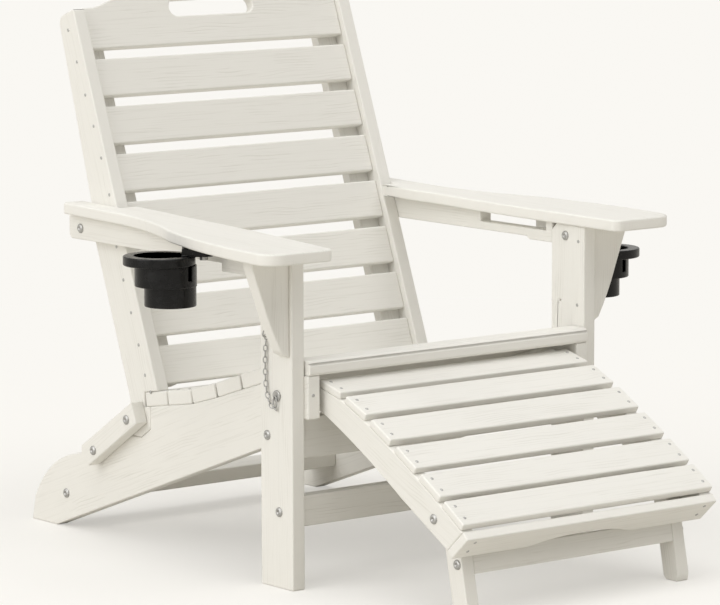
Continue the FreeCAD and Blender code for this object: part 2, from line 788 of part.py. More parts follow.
for side in (-1, 1):
    body = doc.addObject("PartDesign::Body", side_name(side) + "_ottoman_rail")
    sketch = sketch_on(body, "YZ_Plane", "rail_outline")
    draw(sketch, rail_loop + [(rail_eye_at[1], rail_eye_at[0])])
    circle(sketch, (s.pin_y, s.pin_z), pin_hole)
    circle(sketch, leg_pivot, bolt_hole)
    pad = body.newObject("PartDesign::Pad", "rail_board")
    pad.Profile = sketch
    pad.Length = value_of(s.board)
    pad.setExpression("Length", s.board.formula)
    finish(body, side_name(side) + "_ottoman_rail")
    place(body, side_x(side, s.rail_outer - s.board, s.board))

# Ottoman slats.
rail_line = [rail_eye_at[0]] + rail_top
for number, (a, b) in enumerate(zip(rail_line, rail_line[1:])):
    run, rise = a[0] - b[0], a[1] - b[1]
    length = length_of(run, rise)
    lead = s.ottoman_gap / (2 if number < 5 else 4)
    slat("ottoman_slat_%d" % (number + 1), s.rail_outer, s.ottoman_slat_width, s.ottoman_slat_thickness,
         b[0] + run * (lead / length), b[1] + rise * (lead / length), angle_of(run, rise))

# The apron across the rails' front ends, with its arched lower edge.
apron_shares = [(0.4375, 0.0), (0.37, 0.05), (0.3125, 0.17), (0.0, 0.37)]
apron_points = [(s.rail_outer * a, s.apron_height * b) for a, b in apron_shares]
mirrored = [(-a, b) for a, b in apron_points]
apron_loop = [
    (-s.rail_outer, 0), mirrored[0], (mirrored[1], mirrored[2]),
    (apron_points[3], apron_points[2]), (apron_points[1], apron_points[0]),
    (s.rail_outer, 0), (s.rail_outer, s.apron_height), (-s.rail_outer, s.apron_height)]
apron = lumber("ottoman_apron", "XZ_Plane", apron_loop, s.apron_thickness)
apron_run = rail_top[5][0] - rail_low[0][0]
apron_rise = rail_top[5][1] - rail_low[0][1]
apron_turn = angle_of(apron_rise, -apron_run)
place(apron, 0, rail_low[0][0], rail_low[0][1], apron_turn)

# Ottoman legs, hung between the rails, and their stretcher.
leg_length = length_of(s.leg_splay, s.leg_pivot_z)
leg_y = s.leg_splay / leg_length
leg_z = s.leg_pivot_z / leg_length
leg_outer = s.rail_outer - s.board - s.leg_gap


def on_leg(down, back):
    """A point down the leg from its pivot, and behind its middle line."""
    return (leg_pivot[0] - leg_y * down + leg_z * back, leg_pivot[1] - leg_z * down - leg_y * back)


foot_half = s.leg_half / leg_z
foot_y = leg_pivot[0] - s.leg_splay
stretcher_hole = on_leg(s.leg_stretcher_drop - s.leg_stretcher_height / 2,
                        s.leg_stretcher_thickness / 2 - s.leg_half)
for side in (-1, 1):
    foot_ease = s.slat_corner * 2
    loop = [
        on_leg(0, -s.leg_half), (on_leg(-s.leg_half, 0), on_leg(0, s.leg_half)),
        on_leg(leg_length - foot_ease * 2, s.leg_half),
        (foot_y + foot_half - foot_ease, 0), (foot_y - foot_half + foot_ease, 0),
        on_leg(leg_length - foot_ease * 2, -s.leg_half)]
    thing = lumber(side_name(side) + "_ottoman_leg", "YZ_Plane", loop, s.board,
                   holes=[(leg_pivot, s.bolt_radius + s.pin_fit), (stretcher_hole, bolt_hole)])
    place(thing, side_x(side, leg_outer - s.board, s.board))
leg_lean = -angle_of(leg_z, leg_y)
y, z = on_leg(s.leg_stretcher_drop, -s.leg_half)
bar = crossbar("ottoman_leg_stretcher", leg_outer - s.board,
               [(0, 0), (s.leg_stretcher_thickness, 0), (s.leg_stretcher_thickness, s.leg_stretcher_height),
                (0, s.leg_stretcher_height)],
               (s.leg_stretcher_thickness / 2, s.leg_stretcher_height / 2), s.bar_hole_depth)
place(bar, -(leg_outer - s.board), y, z, leg_lean)


def bolt(name, side, head_at, reach, point):
    """A bolt across the chair: a low round head at head_at, its shank reaching inwards."""
    y, z = point
    start = head_at - reach if side > 0 else -head_at
    shank = cylinder(name + "_shank", s.bolt_radius, reach, start, y, z)
    head = cone(name + "_head", s.bolt_head_radius, s.bolt_head_radius * 0.7, s.bolt_head_height,
                head_at * side, y, z, angle=90 * side)
    return join("Part::MultiFuse", name, [shank, head])


# Bolts of the frame, each with a low round head outside.
frame_bolts = []
for side in (-1, 1):
    name = side_name(side)
    frame_bolts.append(bolt(name + "_post_bolt", side, s.frame_half, s.board * 2, post_bolt))
    frame_bolts.append(bolt(name + "_stretcher_bolt", side, s.frame_half, s.board + s.bar_hole_depth * 0.9,
                            stretcher_bolt))
    frame_bolts.append(bolt(name + "_block_bolt", -side, -outer_layer, s.board * 2, block_bolt))
    frame_bolts.append(bolt(name + "_bar_bolt", side, s.frame_half, s.board + s.bar_hole_depth * 0.9,
                            bar_bolt))
    frame_bolts.append(bolt(name + "_brace_bolt", side, s.frame_half, s.board * 2, brace_bolt))
    frame_bolts.append(bolt(name + "_foot_bolt", side, s.frame_half, s.board * 2, foot_bolt))
    frame_bolts.append(bolt(name + "_heel_bolt", side, outer_layer, s.board + s.bar_hole_depth * 0.9,
                            heel_bolt))
gather("frame_bolts", frame_bolts)

leg_bolts = []
stretcher_bolts = []
for side in (-1, 1):
    name = side_name(side)
    leg_bolts.append(bolt(name + "_leg_pivot", side, s.rail_outer, s.board * 2 + s.leg_gap, leg_pivot))
    stretcher_bolts.append(bolt(name + "_leg_bolt", side, leg_outer, s.board + s.bar_hole_depth * 0.9,
                                stretcher_hole))
gather("ottoman_pivot_bolts", leg_bolts)
gather("ottoman_leg_bolts", stretcher_bolts)

# Lock pins: a rod through post, stringer and rail, a flat head and a pull ring.
pin_reach = s.frame_half + s.fit - (s.rail_outer - s.board) + s.leg_gap
for side in (-1, 1):
    name = side_name(side)
    head_x = s.frame_half + s.fit
    rod_x = head_x - pin_reach if side > 0 else -head_x
    rod = cylinder(name + "_rod", s.pin_radius, pin_reach, rod_x, s.pin_y, s.pin_z)
    head_start = head_x if side > 0 else -(head_x + s.pin_head_height)
    head = cylinder(name + "_pin_head", s.pin_head_radius, s.pin_head_height, head_start, s.pin_y, s.pin_z)
    ring_x = head_x + s.pin_head_height - s.wire_radius / 2
    ring_start = ring_x if side > 0 else -(ring_x + s.wire_radius * 2)
    ring_z = s.pin_z - s.pin_ring_radius * 1.2
    disc = cylinder(name + "_ring_disc", s.pin_ring_radius + s.wire_radius, s.wire_radius * 2, ring_start,
                    s.pin_y, ring_z)
    room = cylinder(name + "_ring_room", s.pin_ring_radius - s.wire_radius, s.wire_radius * 2, ring_start,
                    s.pin_y, ring_z)
    ring = join("Part::Cut", name + "_pull_ring", [disc, room])
    finish(join("Part::MultiFuse", name + "_lock_pin", [rod, head, ring]), name + "_lock_pin")

# Screw-eyes on the posts, each with its shank in the post.
eyes = []
for side in (-1, 1):
    name = side_name(side)
    start = (s.frame_half - s.eye_reach) if side > 0 else -s.frame_half - s.wire_radius
    shank = cylinder(name + "_eye_shank", s.chain_radius, s.eye_reach + s.wire_radius, start, s.eye_y,
                     s.eye_z)
    eye_x = (s.frame_half + s.wire_radius + s.eye_ring) * side
    disc = cylinder(name + "_eye_disc", s.eye_ring + s.wire_radius, s.wire_radius * 2, eye_x, s.eye_y + s.wire_radius,
                    s.eye_z, (1, 0, 0))
    room = cylinder(name + "_eye_room", s.eye_ring - s.wire_radius, s.wire_radius * 2, eye_x, s.eye_y + s.wire_radius,
                    s.eye_z, (1, 0, 0))
    loop = join("Part::Cut", name + "_eye_loop", [disc, room])
    eyes.append(join("Part::MultiFuse", name + "_screw_eye", [shank, loop]))
gather("chain_eyes", eyes)

# Chains, as plain cords along their hanging line from the screw-eye to the pin's pull ring.
chain_out = s.frame_half + s.chain_radius + s.fit * 2
ring_drop = s.pin_z - s.pin_ring_radius * 1.2
chain_line = [
    (s.eye_y, s.eye_z - s.eye_ring - s.wire_radius - s.chain_radius),
    (s.eye_y + s.chain_belly, s.eye_z - s.chain_sag * 0.4),
    (s.eye_y + s.chain_belly, s.eye_z - s.chain_sag * 0.75),
    (s.eye_y - s.chain_belly * 0.7, s.eye_z - s.chain_sag * 0.95),
    (s.pin_y + s.pin_ring_radius * 1.1, ring_drop - s.pin_ring_radius * 1.1)]
for side in (-1, 1):
    points = [FreeCAD.Vector(value_of(chain_out * side), value_of(front + y), value_of(z))
              for y, z in chain_line]
    path = Part.makePolygon(points)
    section = Part.Wire(Part.Circle(points[0], points[1] - points[0], value_of(s.chain_radius)).toShape())
    chain = doc.addObject("Part::Feature", side_name(side) + "_chain")
    chain.Shape = path.makePipeShell([section], True, False, 1)
    finish(chain, side_name(side) + "_chain")

# Cup holders: a ring and a stepped cup below it, on a tongue that turns on a bolt under the arm.
# The right one hangs lower, on a web under its tongue's end.
cup_span = length_of(s.cup_out, s.cup_along)
ring_top = {-1: s.left_ring_top, 1: s.right_ring_top}
tongue_top = {side: s.post_height + (cup_pivot_y[side] - s.tongue_boss) * arm_rise_share - s.fit * 2
              for side in (-1, 1)}
for side in (-1, 1):
    name = side_name(side)
    px, py = s.cup_pivot_x * side, cup_pivot_y[side]
    ux, uy = s.cup_out * -side / cup_span, s.cup_along * side / cup_span
    turn = angle_of(s.cup_out * side, s.cup_along * -side)
    ring_low = ring_top[side] - s.ring_height
    cup_step = ring_low - s.cup_height
    cup_bottom = cup_step - s.cup_low_height

    def along(reach):
        """A place out along the tongue from its bolt."""
        return px - ux * reach, py - uy * reach

    def post(label, radius, height, place_at, z):
        return cylinder(name + label, radius, height, place_at[0], place_at[1], z, angle=0)

    def bar(label, reach, length, half, height, z):
        """A square bar along the tongue, from a reach out from its bolt."""
        block = doc.addObject("Part::Box", name + label)
        for prop, value in (("Length", length), ("Width", half * 2), ("Height", height)):
            block.setExpression(prop, value.formula)
        x, y = along(reach)
        place(block, x - uy * half, y + ux * half, z, turn, (0, 0, 1))
        return block

    centre = along(cup_span)
    mid = along(cup_span - s.cup_shift)
    low = along(cup_span - s.cup_low_shift)
    tongue_low = tongue_top[side] - s.tongue_height
    blank = [post("_band", s.ring_radius, s.ring_height, centre, ring_low),
             post("_tongue_tip", s.tongue_boss, s.tongue_height, (px, py), tongue_low)]
    if side < 0:
        blank.append(bar("_tongue_bar", 0, cup_span - s.ring_mouth / 2, s.tongue_radius, s.tongue_height,
                         tongue_low))
    else:
        web_low = ring_low + s.ring_height / 2
        blank.append(bar("_tongue_bar", 0, s.web_reach + s.web_thickness, s.tongue_radius, s.tongue_height,
                         tongue_low))
        blank.append(bar("_web", s.web_reach, s.web_thickness - s.fit, s.web_half,
                         tongue_low + s.tongue_height / 2 - web_low, web_low))
    solid = join("Part::MultiFuse", name + "_bracket_blank", blank)
    mouth = post("_mouth", s.ring_mouth, s.ring_height * 3, centre, ring_low - s.ring_height)
    hole = post("_bolt_hole", s.bolt_radius + s.pin_fit, s.ring_height * 3, (px, py),
                tongue_top[side] - s.ring_height * 2)
    tools = join("Part::MultiFuse", name + "_bracket_holes", [mouth, hole])
    finish(join("Part::Cut", name + "_cup_ring", [solid, tools]), name + "_cup_ring")

    upper = post("_cup_upper", s.cup_radius, s.cup_height, mid, cup_step)
    lower = post("_cup_lower", s.cup_low_radius, s.cup_low_height, low, cup_bottom)
    outside = join("Part::MultiFuse", name + "_cup_blank", [upper, lower])
    upper_in = post("_cup_upper_in", s.cup_radius - s.cup_wall, s.cup_height, mid, cup_step + s.cup_wall)
    lower_in = post("_cup_lower_in", s.cup_low_radius - s.cup_wall, s.cup_low_height, low,
                    cup_bottom + s.cup_wall)
    window = doc.addObject("Part::Box", name + "_cup_window")
    for prop, value in (("Length", s.cup_slot_width), ("Width", s.cup_low_radius),
                        ("Height", s.cup_height * 0.7)):
        window.setExpression(prop, value.formula)
    place(window, mid[0] + s.cup_slot_width, mid[1] - s.cup_radius - s.cup_wall,
          cup_step + s.cup_height * 0.3)
    inside = join("Part::MultiFuse", name + "_cup_room", [upper_in, lower_in, window])
    finish(join("Part::Cut", name + "_cup", [outside, inside]), name + "_cup")

cup_bolts = []
for side in (-1, 1):
    name = side_name(side)
    px, py = s.cup_pivot_x * side, cup_pivot_y[side]
    low = tongue_top[side] - s.tongue_height - s.fit
    shank = cylinder(name + "_cup_shank", s.bolt_radius,
                     s.tongue_height + s.fit + s.arm_thickness * 0.7, px, py, low, angle=0)
    head = cylinder(name + "_cup_nut", s.nut_radius, s.nut_height, px, py, low - s.nut_height, angle=0)
    cup_bolts.append(join("Part::MultiFuse", name + "_cup_bolt", [shank, head]))
gather("cup_pivot_bolts", cup_bolts)

doc.recompute()

# Check every object, then write each piece to its own file.
for thing in doc.Objects:
    if "Invalid" in thing.State or "Error" in thing.State:
        raise RuntimeError("%s did not build: %s" % (thing.Label, thing.State))
os.makedirs("parts", exist_ok=True)
for thing in parts:
    if thing.Shape.isNull() or not thing.Shape.isValid():
        raise RuntimeError("%s has no valid shape" % thing.Label)
    thing.Shape.exportStep("parts/%s.step" % thing.Label)
print(len(parts), "pieces")
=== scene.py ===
import json
import math

import bmesh
import bpy
import numpy as np
from mathutils import Matrix, Vector


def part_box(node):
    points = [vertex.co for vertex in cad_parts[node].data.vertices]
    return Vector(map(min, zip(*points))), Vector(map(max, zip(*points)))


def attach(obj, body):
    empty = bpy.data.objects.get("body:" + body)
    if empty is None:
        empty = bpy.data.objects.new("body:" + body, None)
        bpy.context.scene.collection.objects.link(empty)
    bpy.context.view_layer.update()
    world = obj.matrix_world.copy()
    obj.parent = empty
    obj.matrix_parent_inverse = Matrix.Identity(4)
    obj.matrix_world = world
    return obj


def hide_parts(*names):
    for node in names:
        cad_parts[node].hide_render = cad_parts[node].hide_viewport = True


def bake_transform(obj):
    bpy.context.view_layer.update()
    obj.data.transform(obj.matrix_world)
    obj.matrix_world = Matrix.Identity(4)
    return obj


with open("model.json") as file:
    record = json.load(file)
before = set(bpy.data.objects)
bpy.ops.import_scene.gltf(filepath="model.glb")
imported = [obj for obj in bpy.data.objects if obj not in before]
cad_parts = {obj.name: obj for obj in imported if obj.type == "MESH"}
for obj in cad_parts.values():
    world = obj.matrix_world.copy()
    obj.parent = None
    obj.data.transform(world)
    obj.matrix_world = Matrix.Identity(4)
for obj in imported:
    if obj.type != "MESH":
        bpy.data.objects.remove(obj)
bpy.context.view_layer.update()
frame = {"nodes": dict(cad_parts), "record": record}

body_of = {node: body for body, nodes in frame["record"]["behaviour"]["bodies"].items() for node in nodes}

# The two long side boards. Each is sawn from 24 mm recycled-plastic lumber, ivory right through,
# with a wood grain pressed into its faces, and its edges are run over with a small round cutter.


class Wire:
    """One output of a node. Sums and products of wires add the nodes that work them out."""

    def __init__(self, nodes, socket):
        self.nodes = nodes
        self.socket = socket
        self.vector = socket.type in ("VECTOR", "RGBA")

    def math(self, operation, *others, output=0):
        kind = "Vector" if self.vector else ""
        if self.vector:
            others = tuple((value,) * 3 if isinstance(value, float) else value for value in others)
        return self.nodes.node("ShaderNode%sMath" % kind, {"operation": operation},
                               dict(enumerate((self,) + others)), output)

    def also(self, name):
        """Another output of the same node."""
        return Wire(self.nodes, self.socket.node.outputs[name])

    def part(self, letter):
        return self.nodes.node("ShaderNodeSeparateXYZ", {}, {"Vector": self}, letter)

    def clamp(self, low, high):
        """A smooth step from 0 at low to 1 at high."""
        return self.nodes.node("ShaderNodeMapRange", {"interpolation_type": "SMOOTHSTEP"},
                               {"Value": self, "From Min": low, "From Max": high})

    def __add__(self, other):
        return self.math("ADD", other)

    __radd__ = __add__

    def __mul__(self, other):
        return self.math("MULTIPLY", other)

    __rmul__ = __mul__

    def __sub__(self, other):
        return self.math("SUBTRACT", other)

    def __rsub__(self, other):
        return (self * -1.0) + other


class Nodes:
    """A node tree, with one way to add a node: its type, its settings, then its sockets."""

    def __init__(self, tree):
        self.tree = tree

    def node(self, kind, settings=None, sockets=None, output=0):
        node = self.tree.nodes.new(kind)
        for key, value in (settings or {}).items():
            setattr(node, key, value)
        for key, value in (sockets or {}).items():
            if isinstance(value, Wire):
                self.tree.links.new(value.socket, node.inputs[key])
            else:
                node.inputs[key].default_value = value
        return Wire(self, node.outputs[output])


class Finish(Nodes):
    """A material being mixed on one Principled shader."""

    def __init__(self, name):
        self.material = bpy.data.materials.new(name)
        self.material.use_nodes = True
        super().__init__(self.material.node_tree)
        self.shader = self.tree.nodes["Principled BSDF"]

    def place(self):
        return self.node("ShaderNodeTexCoord", {}, {}, "Object")

    def noise(self, at, detail=2.0, roughness=0.5):
        return self.node("ShaderNodeTexNoise", {}, {"Vector": at, "Scale": 1.0, "Detail": detail,
                                                    "Roughness": roughness}, "Fac")

    def mix(self, amount, low, high):
        return self.node("ShaderNodeMix", {"data_type": "RGBA"}, {"Factor": amount, 6: low, 7: high}, 2)

    def bump(self, height, depth, strength):
        return self.node("ShaderNodeBump", {},
                         {"Height": height, "Distance": depth, "Strength": strength})

    def set(self, **sockets):
        for key, value in sockets.items():
            socket = self.shader.inputs[key.replace("_", " ")]
            if isinstance(value, Wire):
                self.tree.links.new(value.socket, socket)
            else:
                socket.default_value = value
        return self.material


def mix_lumber():
    """Pressed grain: fine fibres and short wavy growth lines that follow each board."""
    ivory, grain_grey = (0.828, 0.814, 0.768, 1), (0.60, 0.58, 0.52, 1)
    growth_turns, growth_drift = 1150.0, 34.0
    finish = Finish("ivory_lumber")
    board = finish.node("ShaderNodeAttribute", {"attribute_name": "board"}, {}, "Vector")
    pressed = finish.node("ShaderNodeAttribute", {"attribute_name": "pressed"}, {}, "Fac")
    fibres = finish.noise(board * (14.0, 900.0, 900.0), 3.0, 0.55)
    brushed = finish.noise(board * (7.0, 330.0, 330.0), 2.0, 0.6)
    drift = finish.noise(board * (5.0, 16.0, 16.0), 2.0, 0.5)
    growth = (board.part("Y") * growth_turns + drift * growth_drift).math("SINE").clamp(0.35, 1.0)
    patches = finish.noise(board * (11.0, 55.0, 55.0), 2.0, 0.5).clamp(0.5, 0.68)
    lines = growth * patches
    tone = finish.noise(board * (1.1, 7.0, 7.0), 1.0, 0.5)
    streak = (brushed.clamp(0.5, 0.82) * 0.27 + lines * 0.27) * pressed
    shade = streak + tone * 0.16
    colour = finish.mix(shade, ivory, grain_grey)
    height = 1.0 - (fibres * 0.35 + brushed * 0.4 + lines * 0.5) * pressed
    return finish.set(Base_Color=colour, Roughness=fibres * 0.16 + 0.44,
                      Normal=finish.bump(height, 0.0004, 0.6), IOR=1.5, Specular_IOR_Level=0.35)


lumber = mix_lumber()
boards_made = []
weld = 1e-5
bolt_head_height = 0.0035


def merged(node):
    """A copy of a CAD solid's mesh with its loose triangles joined."""
    bm = bmesh.new()
    bm.from_mesh(frame["nodes"][node].data)
    bmesh.ops.remove_doubles(bm, verts=bm.verts, dist=weld)
    return bm


def bolts_in(node):
    """Each bolt of a node: the foot of its head, the way the head faces, its shank's length and radius."""
    past_head = 0.006
    bm = merged(node)
    left = set(bm.verts)
    found = []
    while left:
        cluster, fresh = set(), [left.pop()]
        while fresh:
            vertex = fresh.pop()
            cluster.add(vertex)
            fresh += [edge.other_vert(vertex) for edge in vertex.link_edges
                      if edge.other_vert(vertex) in left]
            left.difference_update(fresh)
        points = np.array([vertex.co for vertex in cluster])
        low, high = points.min(0), points.max(0)
        middle = (low + high) / 2
        radii = np.hypot(points[:, 1] - middle[1], points[:, 2] - middle[2])
        right_of_middle = points[:, 0] > middle[0]
        sign = 1 if radii[right_of_middle].max() > radii[points[:, 0] < middle[0]].max() else -1
        outer = high[0] if sign > 0 else low[0]
        foot = outer - sign * bolt_head_height
        found.append(((foot, middle[1], middle[2]), sign, high[0] - low[0] - bolt_head_height,
                      radii[np.abs(points[:, 0] - outer) > past_head].min()))
    bm.free()
    return found


bolt_nodes = {node: bolts_in(node) for node in ("frame_bolts", "ottoman_pivot_bolts", "ottoman_leg_bolts")}
bolt_axes = [(place[1], place[2]) for bolts in bolt_nodes.values() for place, *rest in bolts]


def close_bores(bm):
    """Take out the bolt holes, which the bolts' heads cover, so that the faces round them stay flat."""
    widest_bore = 0.0062
    for y, z in bolt_axes:
        walls = [face for face in bm.faces
                 if all(math.hypot(vertex.co.y - y, vertex.co.z - z) < widest_bore for vertex in face.verts)]
        bmesh.ops.delete(bm, geom=walls, context="FACES")
    bmesh.ops.holes_fill(bm, edges=[edge for edge in bm.edges if edge.is_boundary], sides=0)


def own_mesh(node):
    """A copy of a CAD solid's mesh, joined into flat faces, without its bolt holes."""
    flat_within = math.radians(0.6)
    bm = merged(node)
    close_bores(bm)
    bmesh.ops.dissolve_limit(bm, angle_limit=flat_within, verts=bm.verts, edges=bm.edges)
    return bm


def board_axes(bm, along=None):
    """The way a board's grain runs, the way across its face, and through its thickness."""
    areas = np.array([f.calc_area() for f in bm.faces])
    normals = np.array([f.normal for f in bm.faces])
    centres = np.array([f.calc_center_median() for f in bm.faces])
    middle = (centres * areas[:, None]).sum(0) / areas.sum()
    if along is None:
        spread = (centres - middle) * np.sqrt(areas)[:, None]
        along = np.linalg.svd(spread, full_matrices=False)[2][0]
    u = np.array(along, float)
    u /= np.linalg.norm(u)
    best = max(range(len(areas)), key=lambda i: areas[i] * (1 - abs(normals[i] @ u)))
    w = normals[best] - (normals[best] @ u) * u
    w /= np.linalg.norm(w)
    return u, np.cross(w, u), w


def keep_piece(name, node, bm, axes, material, ease, steps=3):
    """Round a piece's edges, note how its grain lies, and stand it in for its CAD solid."""
    sharp_over = math.radians(34.0)
    mesh = bpy.data.meshes.new(name)
    bm.to_mesh(mesh)
    bm.free()
    piece = bpy.data.objects.new(name, mesh)
    bpy.context.scene.collection.objects.link(piece)
    if ease:
        rounder = piece.modifiers.new("rounded edges", "BEVEL")
        rounder.width = ease
        rounder.segments = steps
        rounder.limit_method = "ANGLE"
        rounder.angle_limit = sharp_over
        rounder.use_clamp_overlap = False
        rounder.miter_outer = "MITER_ARC" if material is not lumber else "MITER_SHARP"
    for polygon in mesh.polygons:
        polygon.use_smooth = True
    flat = piece.modifiers.new("flat faces", "WEIGHTED_NORMAL")
    flat.weight = 80
    return settle(piece, node, axes, material)


def settle(piece, node, axes, material):
    """Turn a finished piece into a plain mesh that rides where its CAD solid does."""
    next_cut, edge_print = np.array([1.37, 0.61, 0.29]), 0.25
    name = piece.name
    bpy.context.view_layer.update()
    made = bpy.data.meshes.new_from_object(piece.evaluated_get(bpy.context.evaluated_depsgraph_get()))
    bpy.data.objects.remove(piece)
    piece = bpy.data.objects.new(name, made)
    bpy.context.scene.collection.objects.link(piece)
    made.materials.clear()
    made.materials.append(material)
    if axes is not None:
        count = len(made.vertices)
        points = np.empty(count * 3)
        normals = np.empty(count * 3)
        made.vertices.foreach_get("co", points)
        made.vertices.foreach_get("normal", normals)
        points = points.reshape(-1, 3)
        turned = (points - points.mean(0)) @ np.array(axes).T
        turned += next_cut * (len(boards_made) + 1)
        pressed = np.abs(normals.reshape(-1, 3) @ axes[2]) * (1 - edge_print) + edge_print
        made.attributes.new("board", "FLOAT_VECTOR", "POINT").data.foreach_set("vector", turned.ravel())
        made.attributes.new("pressed", "FLOAT", "POINT").data.foreach_set("value", pressed)
        boards_made.append(name)
    if node:
        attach(piece, body_of[node])
        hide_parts(node)
    return piece


def sawn_board(node, name, along=None, ease=0.0026, steps=3):
    """A board sawn to its outline, with its grain along a given way or along its length."""
    bm = own_mesh(node)
    return keep_piece(name, node, bm, board_axes(bm, along), lumber, ease, steps)


def box_of(node):
    """Where a straight slat lies: its axes, and how far it reaches along each."""
    bm = own_mesh(node)
    axes = np.array(board_axes(bm, (1, 0, 0)))
    points = np.array([v.co for v in bm.verts]) @ axes.T
    bm.free()
    return axes, points.min(0), points.max(0)


def planed_slat(node, name, ease=0.003):
    """A straight slat with all its edges rounded, as it comes from the extruder."""
    axes, low, high = box_of(node)
    bm = bmesh.new()
    bmesh.ops.create_cube(bm, size=1.0)
    for vertex in bm.verts:
        share = np.array(vertex.co) + 0.5
        vertex.co = Vector((low + (high - low) * share) @ axes)
    bmesh.ops.recalc_face_normals(bm, faces=bm.faces)
    return keep_piece(name, node, bm, axes, lumber, ease, 4)


crossways, lengthwise, upright = (1, 0, 0), (0, 1, 0), (0, 0, 1)
downhill, back_lean, arm_rise = (0, 0.943, -0.333), (0, 0.3503, 0.9366), (0, 0.99974, 0.0227)
for side in ("left", "right"):
    sawn_board(side + "_stringer", side + "_side_board", downhill)

# The front posts, upright boards bolted outside the side boards, and the curved brackets
# screwed to them that carry the arms' outer halves.
for side in ("left", "right"):
    sawn_board(side + "_front_post", side + "_post", upright)
    sawn_board(side + "_gusset", side + "_arm_bracket", upright)

# The seat: a fuller nose slat with a groove under its top, then six slats that follow the dip
# of the side boards. The nose ends just in front of the board under it, 13 mm short of its solid.
for number in range(1, 7):
    planed_slat("seat_slat_%d" % number, "seat_plank_%d" % number)
nose_draw_back, nose_profile_depth = 0.013, 0.022
nose = own_mesh("seat_nose_slat")
nose_front = min(vertex.co.y for vertex in nose.verts)
for vertex in nose.verts:
    if vertex.co.y < nose_front + nose_profile_depth:
        vertex.co.y += nose_draw_back
keep_piece("seat_nose", "seat_nose_slat", nose, board_axes(nose, crossways), lumber, 0.0018, 2)

# The back: two leaning stiles, seven plain slats and a carved crest with a hand hole, all
# screwed to a cleat behind each end.
for side in ("left", "right"):
    sawn_board(side + "_back_stile", side + "_stile", back_lean, 0.0024)
for number in range(2, 9):
    planed_slat("back_slat_%d" % number, "back_plank_%d" % number)
sawn_board("back_crest_slat", "crest", crossways, 0.003)
sawn_board("back_cleats", "cleats", back_lean, 0.0015, 2)

# The arms: a beam on edge from the post to the bar behind the back, a packing block bolted to
# the post, and a wide board on top, sawn to a waist beside the sitter.
for side in ("left", "right"):
    sawn_board(side + "_arm_beam", side + "_beam", lengthwise, 0.0022)
    sawn_board(side + "_arm_board", side + "_arm", arm_rise, 0.0032)
sawn_board("arm_blocks", "packing_blocks", lengthwise, 0.002)

# The boards that run across the chair and tie its sides together, and the short braces that
# splice the stiles' feet to the side boards.
for node in ("rear_bar", "front_stretcher", "rear_stretcher", "front_cross_board"):
    sawn_board(node, node + "_piece", crossways, 0.0024)
for side in ("left", "right"):
    sawn_board(side + "_brace", side + "_splice", None, 0.0024)

# The ottoman: two bowed rails, six thin slats that stand out a little past them, and a shallow
# arched apron across the front.
for side in ("left", "right"):
    sawn_board(side + "_ottoman_rail", side + "_rail", None, 0.0024)
for number in range(1, 7):
    planed_slat("ottoman_slat_%d" % number, "ottoman_plank_%d" % number, 0.0028)
sawn_board("ottoman_apron", "apron", crossways, 0.0024)

# The ottoman's legs, which turn on a bolt inside each rail, with a bar between them.
for side in ("left", "right"):
    sawn_board(side + "_ottoman_leg", side + "_leg", None, 0.0022)
sawn_board("ottoman_leg_stretcher", "leg_bar", crossways, 0.0022)

# Small zinc-plated wood screws: two at each end of every seat and ottoman slat, one into each
# cleat through the stiles, and those that hold the brackets, the apron and the front board.


class Pattern(Nodes):
    """A repeating pattern, with its sizes as named inputs."""

    def __init__(self, name, **sizes):
        super().__init__(bpy.data.node_groups.new(name, "GeometryNodeTree"))
        sockets = self.tree.interface
        sockets.new_socket("Places", in_out="INPUT", socket_type="NodeSocketGeometry")
        self.keys = {}
        for word, value in sizes.items():
            socket = sockets.new_socket(word, in_out="INPUT", socket_type="NodeSocketFloat")
            socket.default_value = value
            self.keys[word] = socket.identifier
        sockets.new_socket("Made", in_out="OUTPUT", socket_type="NodeSocketGeometry")
        self.given = self.tree.nodes.new("NodeGroupInput")

    def size(self, word):
        return Wire(self, self.given.outputs[word])

    def facing(self):
        """The way that each place points."""
        return self.node("GeometryNodeInputNamedAttribute", {"data_type": "FLOAT_VECTOR"},
                         {"Name": "facing"})

    def turned(self, axis, way):
        """A turn that points an axis of what is set down along a way."""
        return self.node("FunctionNodeAlignRotationToVector", {"axis": axis}, {"Vector": way})

    def set_down(self, item, turn, **more):
        """Copies of an item at the places, each turned."""
        sockets = {"Points": self.size("Places"), "Instance": item, "Rotation": turn}
        return self.node("GeometryNodeInstanceOnPoints", {}, {**sockets, **more})

    def close(self, instances, material):
        smooth = self.node("GeometryNodeSetShadeSmooth", {}, {"Geometry": instances, "Shade Smooth": True})
        whole = self.node("GeometryNodeRealizeInstances", {}, {"Geometry": smooth})
        painted = self.node("GeometryNodeSetMaterial", {}, {"Geometry": whole, "Material": material})
        self.tree.links.new(painted.socket, self.tree.nodes.new("NodeGroupOutput").inputs["Made"])

    def grow(self, holder, **sizes):
        grown = holder.modifiers.new("pattern", "NODES")
        grown.node_group = self.tree
        for word, value in sizes.items():
            grown[self.keys[word]] = value
        return holder


def mix_zinc():
    """Dull zinc plate, cloudy, with fine scuffs."""
    finish = Finish("zinc_plate")
    place = finish.place()
    clouds = finish.noise(place * 260.0, 3.0, 0.6)
    scuffs = finish.noise(place * (1900.0, 700.0, 700.0), 2.0, 0.6)
    colour = finish.mix(clouds.clamp(0.3, 0.75), (0.40, 0.40, 0.39, 1), (0.54, 0.535, 0.52, 1))
    return finish.set(Base_Color=colour, Metallic=1.0, Roughness=clouds * 0.22 + scuffs * 0.12 + 0.3,
                      Normal=finish.bump(scuffs, 0.0001, 0.35))


